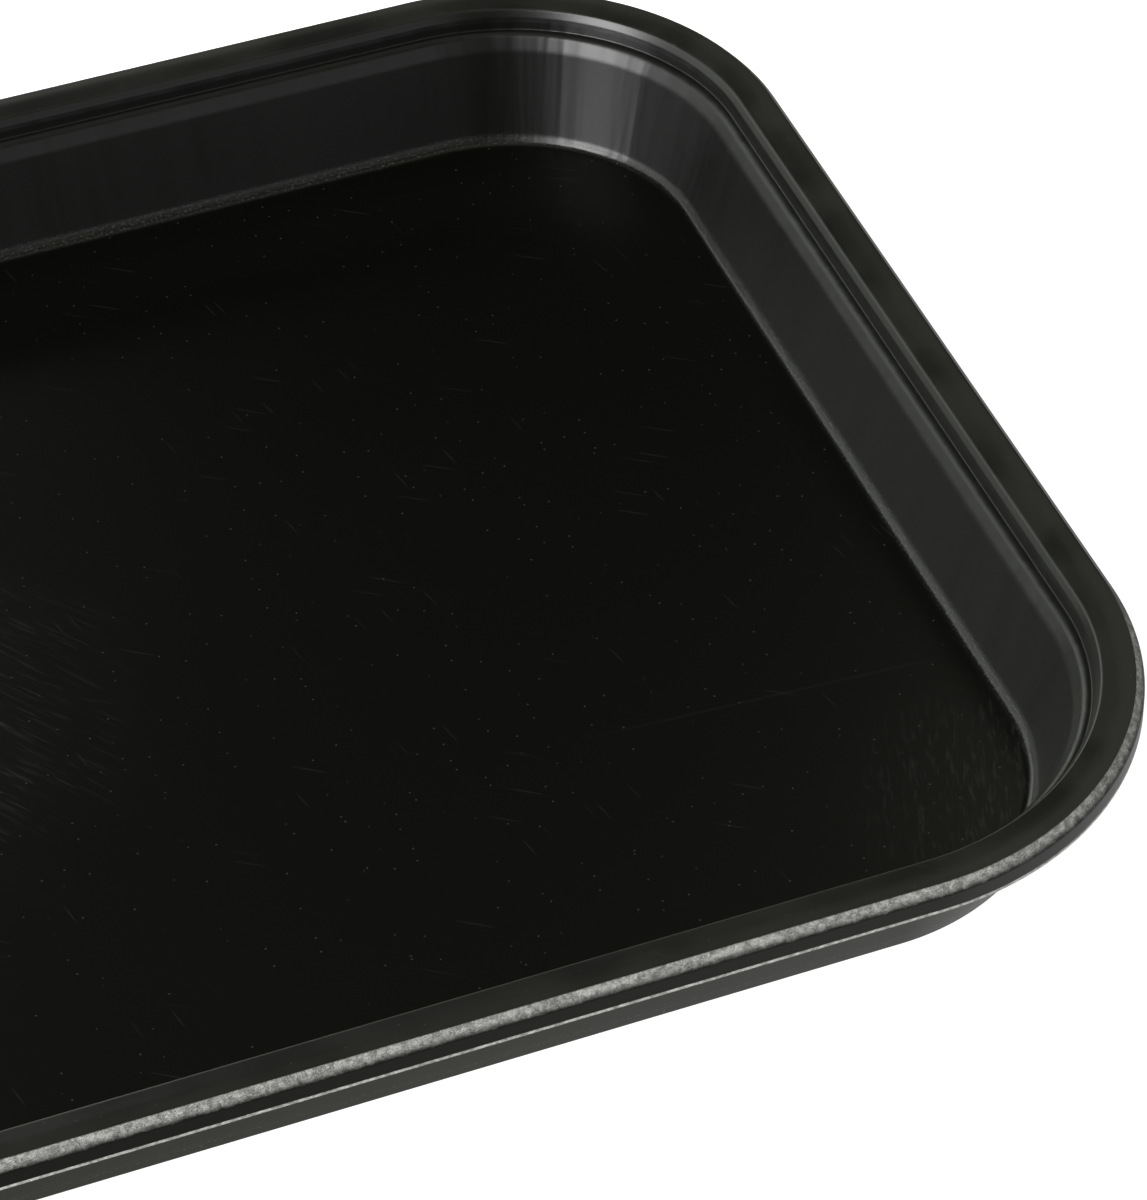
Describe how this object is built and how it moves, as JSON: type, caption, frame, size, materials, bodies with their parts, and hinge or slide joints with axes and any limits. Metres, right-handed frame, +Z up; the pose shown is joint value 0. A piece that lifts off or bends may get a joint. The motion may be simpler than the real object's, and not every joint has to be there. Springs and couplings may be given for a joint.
{
  "type": "tray",
  "caption": "Shallow rectangular moulded tray with a flat floor, steep stepped walls, rounded corners and a thick rim bead stiffened by hidden corner rods.",
  "frame": {"origin": "centre of the flat underside that the tray rests on", "axes": "+X along the long sides, +Y along the short sides, +Z up out of the tray"},
  "size_m": [0.457, 0.305, 0.0323],
  "materials": {
    "moulded_shell": "glossy black moulded glass-fibre, sanded pale grey round the rim's outer edge",
    "rod_steel": "plain drawn steel"
  },
  "bodies": {
    "root": {"tray_shell": "moulded_shell", "corner_rod_front_left": "rod_steel", "corner_rod_front_right": "rod_steel", "corner_rod_back_right": "rod_steel", "corner_rod_back_left": "rod_steel"}
  },
  "joints": []
}
